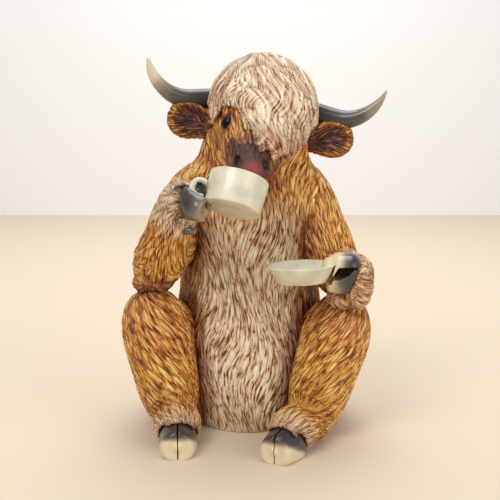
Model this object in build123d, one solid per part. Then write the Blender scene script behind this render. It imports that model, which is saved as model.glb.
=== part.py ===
"""Seated highland cow ornament that drinks from a teacup and holds the saucer.

Cast resin pieces, glued together on dowels. Millimetres, +Z up. The origin is the centre
of the torso's flat seat, the cow faces -Y, and its own left side is +X.
"""

import os
from math import cos, radians, sin

from build123d import *

# Torso: a pear-shaped casting that sits flat on the table
SEAT_WIDTH = 70.0
SEAT_DEPTH = 62.0
RUMP_WIDTH = 76.0
RUMP_DEPTH = 68.0
RUMP_HEIGHT = 15.0
BELLY_WIDTH = 68.0
BELLY_DEPTH = 64.0
BELLY_HEIGHT = 42.0
CHEST_WIDTH = 62.0
CHEST_DEPTH = 53.0
CHEST_HEIGHT = 72.0
SHOULDER_WIDTH = 63.0
SHOULDER_DEPTH = 46.0
SHOULDER_HEIGHT = 100.0
NECK_WIDTH = 48.0
NECK_DEPTH = 38.0
NECK_HEIGHT = 116.0
NECK_DOME = 12.0
NECK_LEAN = 5.0

# Head: skull, face and muzzle on an axis that points down into the cup
HEAD_OFFSET = 6.5
HEAD_FORWARD = 8.0
HEAD_RISE = 20.0
HEAD_ROLL = 7.5
FACE_DROP = 35.5
FACE_TURN = 3.0
SKULL_WIDTH = 43.0
SKULL_HEIGHT = 42.0
SKULL_BACK = 20.0
BROW_WIDTH = 38.0
BROW_HEIGHT = 37.0
BROW_REACH = 14.0
CHEEK_WIDTH = 28.0
CHEEK_HEIGHT = 28.0
CHEEK_REACH = 26.0
MUZZLE_WIDTH = 18.5
MUZZLE_HEIGHT = 16.0
MUZZLE_REACH = 38.5
MUZZLE_DOME = 7.5
NOSE_PAD_LENGTH = 9.0
NOSTRIL_DIAMETER = 3.6
NOSTRIL_SPACING = 12.0
NOSTRIL_RISE = 3.5
EYE_DIAMETER = 5.0
EYE_SIDE = 14.3
EYE_RISE = -7.4
EYE_PROUD = 1.5

# Forelock: a mop of long hair over the skull that hangs over one side of the face
HAIR_THICKNESS = 2.6
HAIR_GROOVE_DEPTH = 1.3
HAIR_GROOVE_WIDTH = 1.4
HAIR_GROOVE_SHARE = 0.8
HAIR_BACK = 14.0
LOCK_NOTCH = 2.5
LOCK_TIPS = [
    (-24.5, 1.0),
    (-20.5, -7.0),
    (-14.0, 1.0),
    (-6.5, -7.5),
    (0.0, -16.0),
    (6.5, -18.5),
    (13.0, -18.0),
    (18.5, -12.5),
    (23.0, -2.0),
]

# Horns and ears, a pair of each on the skull
HORN_ROOT_DIAMETER = 8.6
HORN_BEND_DIAMETER = 8.0
HORN_POINT_DIAMETER = 4.4
HORN_SPREAD = 51.0
HORN_RISE = 16.0
HORN_FORWARD = 8.0
HORN_ROOT_RISE = 3.5
HORN_BEND_SIDE = 39.0
HORN_BEND_RISE = 1.5
EAR_LENGTH = 23.0
EAR_WIDTH = 16.5
EAR_THICKNESS = 8.0
EAR_WALL = 1.8
EAR_ROOT_SIDE = 18.0
EAR_ROOT_RISE = -11.5
EAR_LIFT = 6.0

# Hind legs: thigh and shank with the knees up, and a foot along the table
HIP_SPREAD = 54.0
HIP_HEIGHT = 20.0
HIP_BACK = 8.0
THIGH_WIDTH = 29.0
THIGH_DEPTH = 36.0
RIGHT_KNEE_SIDE = 39.5
RIGHT_KNEE_HEIGHT = 49.0
LEFT_KNEE_SIDE = 38.5
LEFT_KNEE_HEIGHT = 46.5
KNEE_REACH = 31.0
KNEE_WIDTH = 27.0
KNEE_DEPTH = 25.0
CALF_WIDTH = 27.0
CALF_DEPTH = 26.0
ANKLE_WIDTH = 18.5
ANKLE_DEPTH = 17.0
ANKLE_HEIGHT = 8.5
HEEL_WIDTH = 19.0
RIGHT_FOOT_SIDE = 28.2
RIGHT_FOOT_REACH = 49.0
RIGHT_FOOT_TURN = 4.0
RIGHT_HEEL_SIDE = 31.0
RIGHT_HEEL_REACH = 33.0
LEFT_FOOT_SIDE = 17.0
LEFT_FOOT_REACH = 55.0
LEFT_FOOT_TURN = -28.0
LEFT_HEEL_SIDE = 27.0
LEFT_HEEL_REACH = 36.0

# Cloven hooves: two claws each
HOOF_LENGTH = 14.5
HOOF_WIDTH = 15.6
HOOF_HEIGHT = 14.0
TOE_WIDTH = 13.5
TOE_HEIGHT = 11.0
CLEFT_WIDTH = 0.9
SOLE_CUT = 0.8
RIGHT_FORE_SCALE = 0.95
LEFT_FORE_SCALE = 1.2
JOINT_INSET = 0.8
FORE_CLEFT_WIDTH = 1.6
DEWCLAW_LENGTH = 6.5
DEWCLAW_WIDTH = 3.4
DEWCLAW_SIDE = -23.5
DEWCLAW_REACH = 45.5
DEWCLAW_HEIGHT = 87.5

# Cup and saucer
CUP_DIAMETER = 23.8
CUP_FOOT_DIAMETER = 22.8
CUP_HEIGHT = 13.4
CUP_WALL = 1.5
CUP_FLOOR = 2.0
CUP_TILT = 22.0
CUP_ROLL = 14.0
CUP_SIDE = -4.6
CUP_REACH = 48.5
CUP_LIFT = 102.8
HANDLE_ROD = 2.6
HANDLE_REACH = 7.0
HANDLE_HEIGHT = 9.0
HANDLE_DROP = 2.0
HANDLE_TURN = 12.0
SAUCER_DIAMETER = 27.5
SAUCER_FOOT = 20.0
SAUCER_HEIGHT = 8.0
SAUCER_WALL = 1.8
SAUCER_SIDE = 21.6
SAUCER_REACH = 46.0
SAUCER_RIM_HEIGHT = 74.5

# Forelegs: the right one raises the cup, the left one holds the saucer
ARM_ROOT_SPREAD = 46.0
ARM_ROOT_HEIGHT = 99.0
UPPER_ARM_WIDTH = 25.0
UPPER_ARM_DEPTH = 27.0
ELBOW_WIDTH = 21.5
FOREARM_WIDTH = 18.5
WRIST_WIDTH = 14.5
RIGHT_ELBOW_SIDE = 38.0
RIGHT_ELBOW_REACH = 26.0
RIGHT_ELBOW_HEIGHT = 71.0
RIGHT_WRIST_SIDE = 27.0
RIGHT_WRIST_REACH = 43.0
RIGHT_WRIST_HEIGHT = 100.0
RIGHT_HOOF_DROP = 12.0
RIGHT_HOOF_TURN = 58.0
LEFT_ELBOW_SIDE = 39.5
LEFT_ELBOW_REACH = 19.0
LEFT_ELBOW_HEIGHT = 67.0
LEFT_WRIST_SIDE = 44.5
LEFT_WRIST_REACH = 41.0
LEFT_WRIST_HEIGHT = 70.0
LEFT_HOOF_TURN = -86.0
HOOF_ADVANCE = 4.0

# Tail: a cord round the rump that ends in a tuft
TAIL_DIAMETER = 6.5
TAIL_ROOT_HEIGHT = 20.0
TAIL_SWEEP = 26.0
TUFT_LENGTH = 17.0
TUFT_WIDTH = 10.0

# Dowels that hold the castings together, glued into their sockets
DOWEL_DIAMETER = 6.0
DOWEL_LENGTH = 16.0
DOWEL_CLEARANCE = 0.1
HORN_PIN_DIAMETER = 2.4
HORN_PIN_LENGTH = 9.0
HIP_JOINT_SHARE = 0.48
SHOULDER_JOINT_SHARE = 0.38

ARC_HANDLE = 0.5523
RIGHT = -1
LEFT = 1


def oval(plane, width, height):
    """A smooth closed outline of this width and height on a plane, in four arcs."""
    x, y = width / 2, height / 2
    u, v = x * ARC_HANDLE, y * ARC_HANDLE
    corners = [
        [(x, 0), (x, v), (u, y), (0, y)],
        [(0, y), (-u, y), (-x, v), (-x, 0)],
        [(-x, 0), (-x, -v), (-u, -y), (0, -y)],
        [(0, -y), (u, -y), (x, -v), (x, 0)],
    ]
    return plane * make_face([Bezier(*arc) for arc in corners])


def swell(stations, place, sections, round_start=True, round_end=True):
    """A smooth closed form through stations of (distance, width, depth).

    place gives the plane of the section at a distance. The sections are spaced evenly along
    the form's profile, so that the surface stays true to it. A width of 0 is a rounded tip.
    """
    points = [Vector(distance, width / 2, depth / 2) for distance, width, depth in stations]
    first, last = points[1] - points[0], points[-1] - points[-2]
    start = Vector(0, first.Y, first.Z) if round_start else first
    end = Vector(0, last.Y, last.Z) if round_end else last
    profile = Spline(points, tangents=[start, end])
    outlines = []
    for i in range(sections + 1):
        station = profile @ (i / sections)
        plane = place(station.X)
        tip = i == sections or (i == 0 and round_start)
        outlines.append(Vertex(plane.origin) if tip else oval(plane, 2 * station.Y, 2 * station.Z))
    return loft(outlines)


def bone(start, end, across, stations, sections=12):
    """A tapering limb. Each station is (distance from start, width, depth), tips included."""
    axis = (end - start).normalized()
    return swell(stations, lambda s: Plane(start + axis * s, x_dir=across, z_dir=axis), sections)


def torso():
    top = NECK_HEIGHT + NECK_DOME
    stations = [
        (0, SEAT_WIDTH, SEAT_DEPTH),
        (RUMP_HEIGHT, RUMP_WIDTH, RUMP_DEPTH),
        (BELLY_HEIGHT, BELLY_WIDTH, BELLY_DEPTH),
        (CHEST_HEIGHT, CHEST_WIDTH, CHEST_DEPTH),
        (SHOULDER_HEIGHT, SHOULDER_WIDTH, SHOULDER_DEPTH),
        (NECK_HEIGHT, NECK_WIDTH, NECK_DEPTH),
        (top, 0, 0),
    ]

    def lean(z):
        share = (z / top) ** 2
        return Plane((HEAD_OFFSET / 2 * share, -NECK_LEAN * share, z))

    return swell(stations, lean, 18, round_start=False)


head_frame = Plane(
    (HEAD_OFFSET, -HEAD_FORWARD, NECK_HEIGHT + HEAD_RISE),
    x_dir=(cos(radians(HEAD_ROLL)), 0, -sin(radians(HEAD_ROLL))),
    z_dir=(0, -1, 0),
)


def on_head(side, up, forward):
    """A point given across, up and forward in the head's own frame."""
    return head_frame.from_local_coords(Vector(side, up, forward))


def head_direction(side, up, forward):
    return (on_head(side, up, forward) - head_frame.origin).normalized()


face_axis = head_direction(
    -sin(radians(FACE_TURN)),
    -sin(radians(FACE_DROP)),
    cos(radians(FACE_DROP)),
)
face_frame = Plane(head_frame.origin, x_dir=head_frame.x_dir, z_dir=face_axis)


def head_form(extra=0.0):
    """The head's outer form, grown on all sides by extra."""
    dome, lip = MUZZLE_DOME + extra, cos(radians(45))
    stations = [
        (-SKULL_BACK - extra, 0, 0),
        (0, SKULL_WIDTH + 2 * extra, SKULL_HEIGHT + 2 * extra),
        (BROW_REACH, BROW_WIDTH + 2 * extra, BROW_HEIGHT + 2 * extra),
        (CHEEK_REACH, CHEEK_WIDTH + 2 * extra, CHEEK_HEIGHT + 2 * extra),
        (MUZZLE_REACH, MUZZLE_WIDTH + 2 * extra, MUZZLE_HEIGHT + 2 * extra),
        (MUZZLE_REACH + lip * dome, lip * (MUZZLE_WIDTH + 2 * extra), lip * (MUZZLE_HEIGHT + 2 * extra)),
        (MUZZLE_REACH + dome, 0, 0),
    ]
    return swell(stations, face_frame.offset, 16)


def horn(side):
    root = on_head(side * SKULL_WIDTH * 0.3, HORN_ROOT_RISE, -2)
    bend = on_head(side * HORN_BEND_SIDE, HORN_BEND_RISE, HORN_FORWARD / 3)
    tip = on_head(side * HORN_SPREAD, HORN_RISE, HORN_FORWARD)
    outward, upward = head_direction(side, -0.1, 0), head_direction(side * 0.2, 1, 0.3)
    path = Spline(root, bend, tip, tangents=[outward, upward])
    length = path.length
    stations = [
        (-HORN_ROOT_DIAMETER / 2, 0, 0),
        (length * 0.15, HORN_ROOT_DIAMETER, HORN_ROOT_DIAMETER),
        (length * 0.5, HORN_BEND_DIAMETER, HORN_BEND_DIAMETER),
        (length * 0.8, HORN_POINT_DIAMETER, HORN_POINT_DIAMETER),
        (length, 0, 0),
    ]

    def along(distance):
        share = max(distance / length, 0)
        start = path % 0
        origin = path @ share if distance >= 0 else path @ 0 + start * distance
        return Plane(origin, x_dir=head_frame.z_dir, z_dir=path % share)

    return swell(stations, along, 16, round_end=False)


def ear(side):
    root = on_head(side * EAR_ROOT_SIDE, EAR_ROOT_RISE, 0)
    axis = head_direction(side * EAR_LENGTH, EAR_LIFT, 3)

    def blade(width, thickness, length, shift):
        start = root + head_frame.z_dir * shift
        stations = [
            (-2, 0, 0),
            (0.2 * length, 0.62 * width, thickness),
            (0.55 * length, width, thickness),
            (length, 0, 0),
        ]
        return bone(start, start + axis, head_direction(0, 1, 0.1), stations, 14)

    scoop = blade(EAR_WIDTH - 2 * EAR_WALL, EAR_THICKNESS, EAR_LENGTH - 1.5 * EAR_WALL, EAR_THICKNESS / 2)
    return blade(EAR_WIDTH, EAR_THICKNESS, EAR_LENGTH, 0) - scoop


def hair_region():
    """The forelock's outline from the front: pointed lock tips with notches between them."""
    points = []
    for (x0, y0), (x1, y1) in zip(LOCK_TIPS, LOCK_TIPS[1:]):
        points += [(x0, y0), ((x0 + x1) / 2, (y0 + y1) / 2 + LOCK_NOTCH)]
    points.append(LOCK_TIPS[-1])
    reach = SKULL_WIDTH
    points += [(reach, LOCK_TIPS[-1][1]), (reach, reach), (-reach, reach), (-reach, LOCK_TIPS[0][1])]
    outline = head_frame.offset(-HAIR_BACK) * make_face(Polyline(*points, close=True))
    return extrude(outline, HAIR_BACK + SKULL_WIDTH, dir=head_frame.z_dir)


def hair_grooves():
    """Wedges that run from each notch most of the way up to the crown."""
    crown = Vector(LOCK_TIPS[0][0] / 3, SKULL_HEIGHT / 2)
    half = HAIR_GROOVE_WIDTH / 2
    wedges = []
    for (x0, y0), (x1, y1) in zip(LOCK_TIPS, LOCK_TIPS[1:]):
        notch = Vector((x0 + x1) / 2, (y0 + y1) / 2 + LOCK_NOTCH)
        top = notch + (crown - notch) * HAIR_GROOVE_SHARE
        low = notch.Y - half
        foot = [(notch.X - half, low), (notch.X + half, low)]
        point = [(top.X + half / 3, top.Y), (top.X - half / 3, top.Y)]
        face = head_frame * make_face(Polyline(*foot, *point, close=True))
        wedges.append(extrude(face, SKULL_WIDTH, dir=head_frame.z_dir))
    return wedges


def forelock(head):
    hair = biggest((head_form(HAIR_THICKNESS) & hair_region()) - head)
    core = head_form(HAIR_THICKNESS - HAIR_GROOVE_DEPTH)
    for wedge in hair_grooves():
        hair = biggest(hair - (wedge - core))
    return hair


def level_direction(turn, drop=0.0):
    """Forward, turned toward the cow's left by turn and tipped down by drop, in degrees."""
    flat = cos(radians(drop))
    return Vector(sin(radians(turn)) * flat, -cos(radians(turn)) * flat, -sin(radians(drop)))


def limb(start, end, start_size, mid_size, end_size):
    """A limb segment between two joints, rounded beyond both. Each size is (width, depth)."""
    length = (end - start).length
    shoulder = cos(radians(45))
    start_dome, end_dome = min(start_size) / 2, min(end_size) / 2
    stations = [
        (-start_dome, 0, 0),
        (-start_dome * shoulder, start_size[0] * shoulder, start_size[1] * shoulder),
        (0, *start_size),
        (length / 2, *mid_size),
        (length, *end_size),
        (length + end_dome * shoulder, end_size[0] * shoulder, end_size[1] * shoulder),
        (length + end_dome, 0, 0),
    ]
    return bone(start, end, Vector(1, 0, 0), stations, 28)


def hind_leg(hip, knee, heel, ankle):
    thigh_size, knee_size = (THIGH_WIDTH, THIGH_DEPTH), (KNEE_WIDTH, KNEE_DEPTH)
    inset = (KNEE_WIDTH * JOINT_INSET, KNEE_DEPTH * JOINT_INSET)
    thigh = limb(hip, knee, thigh_size, thigh_size, inset)
    shank = limb(knee, heel, knee_size, (CALF_WIDTH, CALF_DEPTH), (HEEL_WIDTH, HEEL_WIDTH))
    ankle_size = (ANKLE_WIDTH, ANKLE_DEPTH)
    foot = limb(heel, ankle, (HEEL_WIDTH, HEEL_WIDTH), ankle_size, ankle_size)
    return thigh + shank + foot - table


def foreleg(root, elbow, wrist):
    upper_size = (UPPER_ARM_WIDTH, UPPER_ARM_DEPTH)
    elbow_size = (ELBOW_WIDTH, ELBOW_WIDTH)
    inset = (ELBOW_WIDTH * JOINT_INSET, ELBOW_WIDTH * JOINT_INSET)
    upper = limb(root, elbow, upper_size, upper_size, inset)
    forearm = (FOREARM_WIDTH, FOREARM_WIDTH)
    return upper + limb(elbow, wrist, elbow_size, forearm, (WRIST_WIDTH, WRIST_WIDTH))


def hoof(plane, scale):
    """A whole hoof. The plane's z is the toe direction and its x runs across the claws."""
    length, width, height = HOOF_LENGTH * scale, HOOF_WIDTH * scale, HOOF_HEIGHT * scale
    stations = [
        (-0.35 * length, 0, 0),
        (0.15 * length, width, height),
        (0.6 * length, 0.95 * width, 0.9 * height),
        (0.92 * length, TOE_WIDTH * scale, TOE_HEIGHT * scale),
        (length, 0, 0),
    ]
    return swell(stations, plane.offset, 14)


def claws(plane, scale, cleft):
    """The hoof's two claws, first the one toward the plane's x, with the cleft between them."""
    whole = hoof(plane, scale)
    half = Box(100, 100, 100, align=(Align.MIN, Align.CENTER, Align.CENTER))
    first = whole & plane * (Pos(cleft / 2, 0, 0) * half)
    return first, whole & plane * (Pos(-cleft / 2 - 100, 0, 0) * half)


def turned_cup(foot, mouth, height, wall, floor):
    """A round vessel on +Z: outer foot and mouth diameters, height, wall and floor."""
    outer = [(0, 0), (foot / 2, 0), (mouth / 2, height)]
    inner = [(mouth / 2 - wall, height), (foot / 2 - wall, floor), (0, floor)]
    return revolve(Plane.XZ * make_face(Polyline(*outer, *inner, close=True)))


def biggest(shape):
    """The largest solid, where a cut leaves crumbs."""
    return shape.solids().sort_by(SortBy.VOLUME)[-1]


def tail():
    """The cord from the middle of the rump round to the cow's left, flat on the table."""
    back = RUMP_DEPTH / 2
    root = Vector(0, back - TAIL_DIAMETER, TAIL_ROOT_HEIGHT)
    turn = Vector(TAIL_SWEEP / 3, back + TAIL_DIAMETER / 3, TAIL_DIAMETER)
    end = Vector(TAIL_SWEEP, back - TAIL_DIAMETER / 2, TAIL_DIAMETER / 2)
    return Spline(root, turn, end, tangents=[Vector(0, 1, -0.2), Vector(1, -0.7, 0)])


def along(path, size, stations, sections):
    """A form along a path. Each station is (share of the path, share of the size)."""
    length = path.length
    sized = [(share * length, swelling * size, swelling * size) for share, swelling in stations]

    def place(distance):
        share = min(max(distance / length, 0), 1)
        return Plane(path @ share, x_dir=(0, 0, 1), z_dir=path % share)

    return swell(sized, place, sections)


pieces = {}
table = Box(400, 400, 100, align=(Align.CENTER, Align.CENTER, Align.MAX))

# Joints of the limbs, from the root outward
hips = {side: Vector(side * HIP_SPREAD / 2, HIP_BACK, HIP_HEIGHT) for side in (RIGHT, LEFT)}
knees = {
    RIGHT: Vector(-RIGHT_KNEE_SIDE, -KNEE_REACH, RIGHT_KNEE_HEIGHT),
    LEFT: Vector(LEFT_KNEE_SIDE, -KNEE_REACH, LEFT_KNEE_HEIGHT),
}
heels = {
    RIGHT: Vector(-RIGHT_HEEL_SIDE, -RIGHT_HEEL_REACH, ANKLE_HEIGHT),
    LEFT: Vector(LEFT_HEEL_SIDE, -LEFT_HEEL_REACH, ANKLE_HEIGHT),
}
ankles = {
    RIGHT: Vector(-RIGHT_FOOT_SIDE, -RIGHT_FOOT_REACH, ANKLE_HEIGHT),
    LEFT: Vector(LEFT_FOOT_SIDE, -LEFT_FOOT_REACH, ANKLE_HEIGHT),
}
shoulders = {side: Vector(side * ARM_ROOT_SPREAD / 2, 0, ARM_ROOT_HEIGHT) for side in (RIGHT, LEFT)}
elbows = {
    RIGHT: Vector(-RIGHT_ELBOW_SIDE, -RIGHT_ELBOW_REACH, RIGHT_ELBOW_HEIGHT),
    LEFT: Vector(LEFT_ELBOW_SIDE, -LEFT_ELBOW_REACH, LEFT_ELBOW_HEIGHT),
}
wrists = {
    RIGHT: Vector(-RIGHT_WRIST_SIDE, -RIGHT_WRIST_REACH, RIGHT_WRIST_HEIGHT),
    LEFT: Vector(LEFT_WRIST_SIDE, -LEFT_WRIST_REACH, LEFT_WRIST_HEIGHT),
}
names = {RIGHT: "right", LEFT: "left"}

# Dowels and their sockets
neck = Vector(HEAD_OFFSET / 2, -NECK_LEAN, NECK_HEIGHT + NECK_DOME / 2)
dowel_spots = {"neck_dowel": (neck, Vector(0, 0, 1))}
for side, name in names.items():
    thigh, arm = knees[side] - hips[side], elbows[side] - shoulders[side]
    dowel_spots[f"{name}_hip_dowel"] = (hips[side] + thigh * HIP_JOINT_SHARE, thigh)
    dowel_spots[f"{name}_shoulder_dowel"] = (shoulders[side] + arm * SHOULDER_JOINT_SHARE, arm)
sockets = {}
for name, (centre, direction) in dowel_spots.items():
    rod = Plane(centre, z_dir=direction)
    pieces[name] = rod * Cylinder(DOWEL_DIAMETER / 2, DOWEL_LENGTH)
    bore, depth = DOWEL_DIAMETER / 2 + DOWEL_CLEARANCE, DOWEL_LENGTH + 2 * DOWEL_CLEARANCE
    sockets[name] = rod * Cylinder(bore, depth)

# Torso, with a socket for every dowel
body = torso()
pieces["torso"] = body
for socket in sockets.values():
    pieces["torso"] -= socket

# Cup, tipped up to the muzzle, and its handle
cup_place = Pos(CUP_SIDE, -CUP_REACH, CUP_LIFT) * Rotation(-CUP_TILT, CUP_ROLL, 0)
upright_cup = turned_cup(CUP_FOOT_DIAMETER, CUP_DIAMETER, CUP_HEIGHT, CUP_WALL, CUP_FLOOR)
cup = cup_place * (Pos(0, 0, -CUP_HEIGHT / 2) * upright_cup)
pieces["cup"] = cup
ring = Rotation(90, 0, 0) * Torus((HANDLE_HEIGHT - HANDLE_ROD) / 2, HANDLE_ROD / 2)
ring = Pos(HANDLE_REACH - CUP_DIAMETER / 2 - HANDLE_HEIGHT, 0, -HANDLE_DROP) * ring
handle = cup_place * (Rotation(0, 0, HANDLE_TURN) * ring)
pieces["cup_handle"] = biggest(handle - cup_place * Cylinder(CUP_DIAMETER / 2, CUP_HEIGHT) - cup)

# Head: the muzzle dips into the cup, and the nose pad is cast apart
head = head_form() - body - cup
pad_plane = face_frame.offset(MUZZLE_REACH + MUZZLE_DOME - NOSE_PAD_LENGTH)
pad_space = pad_plane * Box(60, 60, 40, align=(Align.CENTER, Align.CENTER, Align.MIN))
nose_pad = biggest(head & pad_space)
for side in (RIGHT, LEFT):
    ahead = face_frame.offset(80).from_local_coords(Vector(side * NOSTRIL_SPACING / 2, NOSTRIL_RISE, 0))
    surface = nose_pad.find_intersection_points(Axis(ahead, face_axis * -1))[0][0]
    nose_pad -= Pos(surface) * Sphere(NOSTRIL_DIAMETER / 2)
pieces["nose_pad"] = biggest(nose_pad)
sight = Axis(on_head(-EYE_SIDE, EYE_RISE, 80), head_frame.z_dir * -1)
lid, outward = head.find_intersection_points(sight)[0]
eye = Pos(lid + outward * (EYE_PROUD - EYE_DIAMETER / 2)) * Sphere(EYE_DIAMETER / 2)
pieces["right_eye"] = eye
pieces["head"] = biggest(head - pad_space - eye) - sockets["neck_dowel"]

# Horns on pins, ears and forelock
for side, name in names.items():
    spot = on_head(side * (SKULL_WIDTH / 2 - HORN_PIN_LENGTH / 4), HORN_ROOT_RISE - 1.0, -1.5)
    pin = Plane(spot, z_dir=head_direction(side, -0.1, 0.05))
    pieces[f"{name}_horn_pin"] = pin * Cylinder(HORN_PIN_DIAMETER / 2, HORN_PIN_LENGTH)
    bore, depth = HORN_PIN_DIAMETER / 2 + DOWEL_CLEARANCE, HORN_PIN_LENGTH + 2 * DOWEL_CLEARANCE
    socket = pin * Cylinder(bore, depth)
    stem = biggest(horn(side) - head)
    pieces[f"{name}_horn"] = stem - socket
    pieces["head"] -= socket
    pieces[f"{name}_ear"] = biggest(ear(side) - head - body - stem)
hair = forelock(head_form()) - body
for name in ("right_horn", "left_horn", "right_ear", "left_ear"):
    hair = biggest(hair - pieces[name])
pieces["forelock"] = hair

# Hind legs and their hooves
for side, name in names.items():
    leg = hind_leg(hips[side], knees[side], heels[side], ankles[side])
    toe = level_direction(RIGHT_FOOT_TURN if side == RIGHT else LEFT_FOOT_TURN)
    sole = Vector(ankles[side].X, ankles[side].Y, HOOF_HEIGHT / 2 - SOLE_CUT)
    stance = Plane(sole, x_dir=(-toe.Y, toe.X, 0), z_dir=toe)
    for thing in (body, hoof(stance, 1.0), sockets[f"{name}_hip_dowel"]):
        leg = leg - thing
    pieces[f"{name}_hind_leg"] = biggest(leg)
    for claw, place in zip(claws(stance, 1.0, CLEFT_WIDTH), ("left", "right")):
        pieces[f"{name}_hind_{place}_claw"] = biggest(claw - table)

# Saucer, held level
dish = turned_cup(SAUCER_FOOT, SAUCER_DIAMETER, SAUCER_HEIGHT, SAUCER_WALL, SAUCER_WALL * 1.5)
saucer = Pos(SAUCER_SIDE, -SAUCER_REACH, SAUCER_RIM_HEIGHT - SAUCER_HEIGHT) * dish
pieces["saucer"] = saucer

# Forelegs and their hooves
held = {RIGHT: [cup, pieces["cup_handle"]], LEFT: [saucer]}
turns = {RIGHT: level_direction(RIGHT_HOOF_TURN, RIGHT_HOOF_DROP), LEFT: level_direction(LEFT_HOOF_TURN)}
spreads = {RIGHT: Vector(0.25, 1, 0.2), LEFT: Vector(0, 0, 1)}
scales = {RIGHT: RIGHT_FORE_SCALE, LEFT: LEFT_FORE_SCALE}
for side, name in names.items():
    arm = foreleg(shoulders[side], elbows[side], wrists[side])
    grip = Plane(wrists[side] + Vector(0, -HOOF_ADVANCE, 0), x_dir=spreads[side], z_dir=turns[side])
    pair = claws(grip, scales[side], FORE_CLEFT_WIDTH)
    around = [body, head, pieces[f"{name}_hind_leg"], *held[side]]
    for thing in around + [hoof(grip, scales[side]), sockets[f"{name}_shoulder_dowel"]]:
        arm = arm - thing
    pieces[f"{name}_foreleg"] = biggest(arm)
    for claw, place in zip(pair, ("upper", "lower")):
        for thing in around:
            claw = claw - thing
        pieces[f"{name}_fore_{place}_claw"] = biggest(claw)

# The one dewclaw that shows, below the raised hoof
spur_root = Vector(DEWCLAW_SIDE, -DEWCLAW_REACH, DEWCLAW_HEIGHT)
spur_tip = spur_root + Vector(DEWCLAW_LENGTH / 2, 0, 0)
spur_line = Line(spur_root + Vector(-DEWCLAW_LENGTH, DEWCLAW_LENGTH / 2, 1), spur_tip)
spur = along(spur_line, DEWCLAW_WIDTH, [(0, 0), (0.3, 1), (0.8, 0.9), (1, 0)], 10)
for name in ("right_foreleg", "right_fore_upper_claw", "right_fore_lower_claw"):
    spur = spur - pieces[name]
pieces["right_fore_dewclaw"] = biggest(spur)

# Tail and tuft
cord = tail()
cord_shares = [(0, 0), (0.1, 1), (0.6, 0.9), (0.95, 0.7), (1, 0)]
pieces["tail"] = biggest(along(cord, TAIL_DIAMETER, cord_shares, 14) - body - table)
brush = Line(cord @ 0.9, cord @ 0.9 + Vector(TUFT_LENGTH, -TUFT_LENGTH * 0.75, TUFT_WIDTH / 4))
tuft = along(brush, TUFT_WIDTH, [(0, 0), (0.15, 0.6), (0.5, 1), (1, 0)], 12)
pieces["tail_tuft"] = biggest(tuft - body - table - pieces["tail"] - pieces["left_hind_leg"])

os.makedirs("parts", exist_ok=True)
for name, piece in pieces.items():
    export_step(piece, f"parts/{name}.step")
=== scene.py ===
import math

import bpy
import numpy as np
from mathutils import Euler, Matrix, Vector
from mathutils.bvhtree import BVHTree
from mathutils.kdtree import KDTree


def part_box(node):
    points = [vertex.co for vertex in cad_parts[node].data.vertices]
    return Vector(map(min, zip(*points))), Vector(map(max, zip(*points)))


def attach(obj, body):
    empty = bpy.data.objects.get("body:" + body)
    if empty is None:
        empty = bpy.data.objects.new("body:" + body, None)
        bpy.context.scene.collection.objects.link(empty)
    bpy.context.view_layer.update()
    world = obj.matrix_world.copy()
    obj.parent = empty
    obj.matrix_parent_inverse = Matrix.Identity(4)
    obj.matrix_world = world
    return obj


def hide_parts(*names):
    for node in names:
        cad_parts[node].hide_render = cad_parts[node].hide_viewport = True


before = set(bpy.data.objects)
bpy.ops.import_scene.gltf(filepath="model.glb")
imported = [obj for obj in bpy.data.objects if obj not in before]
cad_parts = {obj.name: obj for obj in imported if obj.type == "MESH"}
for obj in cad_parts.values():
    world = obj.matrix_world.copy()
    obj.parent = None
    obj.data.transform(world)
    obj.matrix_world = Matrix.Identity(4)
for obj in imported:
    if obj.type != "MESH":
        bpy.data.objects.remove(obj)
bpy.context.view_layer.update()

# Torso: one pear-shaped resin casting that sits flat on the table. Its coat is carved in
# strands, painted ochre at the back and sides and cream down the chest and belly. The other
# castings are glued to it on dowels.
MM = 0.001
MOST_TRIANGLES = 190000
bpy.ops.object.select_all(action="DESELECT")


def cast(name, nodes, voxel, smooth, extra=()):
    """Copies of CAD nodes, with extra shapes, as one even, closed mesh. voxel is in millimetres."""
    for shape in extra:
        shape.select_set(True)
    for node in nodes:
        copy = bpy.data.objects.new(name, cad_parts[node].data.copy())
        bpy.context.collection.objects.link(copy)
        copy.select_set(True)
        bpy.context.view_layer.objects.active = copy
    if len(nodes) + len(extra) > 1:
        bpy.ops.object.join()
    piece = bpy.context.object
    piece.name = name
    piece.data.materials.clear()
    bpy.ops.object.mode_set(mode="EDIT")
    bpy.ops.mesh.select_all(action="SELECT")
    bpy.ops.mesh.remove_doubles(threshold=0.01 * MM)
    bpy.ops.object.mode_set(mode="OBJECT")
    remesh = piece.modifiers.new("remesh", "REMESH")
    remesh.mode = "VOXEL"
    remesh.voxel_size = voxel * MM * 1
    bpy.ops.object.modifier_apply(modifier="remesh")
    relax = piece.modifiers.new("relax", "SMOOTH")
    relax.factor = 0.5
    relax.iterations = smooth
    bpy.ops.object.modifier_apply(modifier="relax")
    bpy.ops.object.shade_smooth()
    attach(piece, "root")
    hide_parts(*nodes)
    bpy.ops.object.select_all(action="DESELECT")
    return piece


def read(piece, what):
    """Vertex positions or normals as an array, positions in millimetres."""
    source = piece.data.vertices if what == "co" else piece.data.vertex_normals
    values = np.empty(3 * len(piece.data.vertices), np.float32)
    source.foreach_get("co" if what == "co" else "vector", values)
    return values.reshape(-1, 3).astype(float) * (1000 if what == "co" else 1)


def write(piece, points):
    """Set the vertex positions, given in millimetres."""
    piece.data.vertices.foreach_set("co", (points * MM).astype(np.float32).ravel())
    piece.data.update()


def attribute(piece, name, values):
    """Store one number for each vertex, for the paint to read."""
    layer = piece.data.attributes.new(name, "FLOAT", "POINT")
    layer.data.foreach_set("value", np.asarray(values, np.float32))


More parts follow.
